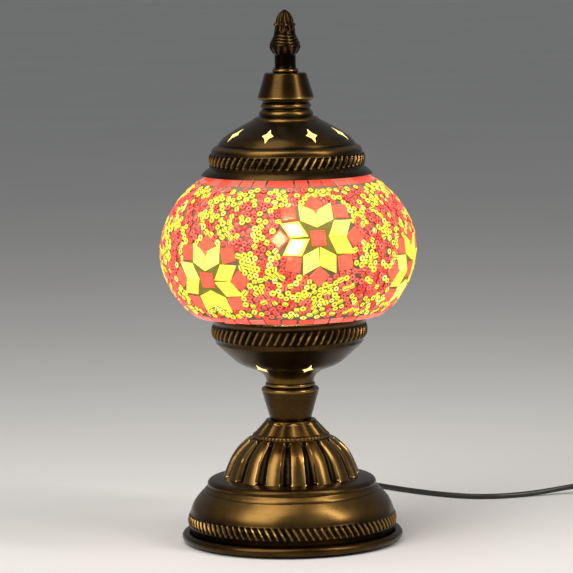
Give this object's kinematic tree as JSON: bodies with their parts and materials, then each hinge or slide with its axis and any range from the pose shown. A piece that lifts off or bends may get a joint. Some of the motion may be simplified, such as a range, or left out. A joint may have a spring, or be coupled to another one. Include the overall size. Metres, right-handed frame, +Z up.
{
  "type": "mosaic glass table lamp",
  "caption": "Table lamp with a lit mosaic glass globe between a pierced metal cap and bowl, on a fluted bell-shaped foot, with lead, switch and plug.",
  "frame": {"origin": "centre of the foot's underside", "axes": "+Z up through the finial, -Y the lamp's front, +X to its right seen from the front"},
  "size_m": [0.42, 0.2768, 0.3325],
  "materials": {
    "antique_brass": "satin, darkened antique patina with rubbed golden high spots",
    "zinc_steel": "zinc plated, satin",
    "cast_iron": "rough casting",
    "felt": "pressed felt",
    "clear_seal": "translucent soft plastic",
    "black_phenolic": "moulded, slightly glossy",
    "porcelain": "unglazed",
    "brass": "bright, stamped",
    "solder": "dull solder",
    "nickel_cap": "nickel plated",
    "globe_glass": "clear blown glass, slightly rippled",
    "grout": "pale fine plaster, lit through",
    "coral_glass": "cut coloured glass, glossy",
    "black_rubber": "matt",
    "black_cord": "smooth PVC",
    "tie_strap": "woven hook and loop strap",
    "black_plastic": "fine moulded texture",
    "rocker_plastic": "smooth moulded",
    "bulb_glass": "clear, lit",
    "filament": "glowing filament",
    "yellow_glass": "cut coloured glass, glossy"
  },
  "bodies": {
    "lamp": {"felt_pad": "felt", "base_plate": "antique_brass", "ballast_ring": "cast_iron", "base_bell": "antique_brass", "fluted_dome": "antique_brass", "dome_crown": "antique_brass", "neck_cone": "antique_brass", "neck_collar": "antique_brass", "lower_bowl": "antique_brass", "globe_seat_ring": "clear_seal", "lamp_pipe": "zinc_steel", "pipe_nuts": "zinc_steel", "pipe_washers": "zinc_steel", "harp_saddle": "zinc_steel", "harp_wire": "zinc_steel", "harp_boss": "zinc_steel", "harp_stud": "zinc_steel", "socket_cap": "black_phenolic", "socket_core": "porcelain", "socket_skirt": "black_phenolic", "socket_screw_shell": "brass", "socket_tongue": "brass", "cord_relief": "black_rubber", "lead_inside": "black_cord", "cord_lamp_run": "black_cord", "cord_switch_run": "black_cord", "cord_tail": "black_cord", "cord_coil": "black_cord", "coil_tie": "tie_strap", "switch_lower_shell": "black_plastic", "switch_upper_shell": "black_plastic", "switch_screws": "zinc_steel", "plug_body": "black_plastic", "plug_pins": "nickel_cap"},
    "globe": {"glass_globe": "globe_glass", "grout_layer": "grout", "star_tiles": "yellow_glass", "square_tiles": "coral_glass", "border_tiles_upper": "coral_glass", "border_tiles_lower": "coral_glass"},
    "cap": {"upper_cap": "antique_brass", "cap_seat_ring": "clear_seal", "cap_cone": "antique_brass"},
    "finial_washer": {"finial_washer": "antique_brass"},
    "finial": {"finial": "antique_brass"},
    "bulb_tip": {"bulb_contact": "solder"},
    "bulb": {"bulb_cap": "nickel_cap", "bulb_glass": "bulb_glass", "bulb_stem": "bulb_glass", "bulb_filaments": "filament"},
    "rocker": {"switch_rocker": "rocker_plastic"}
  },
  "joints": [
    {"name": "globe_lift", "type": "slide", "parent": "lamp", "child": "globe", "axis": [0, 0, 1], "range_m": [0, 0.17]},
    {"name": "cap_lift", "type": "slide", "parent": "globe", "child": "cap", "axis": [0, 0, 1], "range_m": [0, 0.078]},
    {"name": "finial_rise", "type": "slide", "parent": "cap", "child": "finial_washer", "axis": [0, 0, 1], "range_m": [0, 0.008]},
    {"name": "finial_turn", "type": "hinge", "parent": "finial_washer", "child": "finial", "pos_m": [0, 0, 0.31], "axis": [0, 0, 1], "range_deg": [0, 2892]},
    {"name": "bulb_rise", "type": "slide", "parent": "lamp", "child": "bulb_tip", "axis": [0, 0, 1], "range_m": [0, 0.00988]},
    {"name": "bulb_turn", "type": "hinge", "parent": "bulb_tip", "child": "bulb", "pos_m": [0, 0, 0.15], "axis": [0, 0, 1], "range_deg": [0, 1272]},
    {"name": "rocker_tilt", "type": "hinge", "parent": "lamp", "child": "rocker", "pos_m": [0.236, 0.15, 0.0126], "axis": [0, 1, 0], "range_deg": [-14, 0]}
  ],
  "couplings": [
    {"joint": "finial_turn", "follows": "finial_rise", "rad_per_m": 6283.2},
    {"joint": "bulb_turn", "follows": "bulb_rise", "rad_per_m": 2226.5}
  ]
}
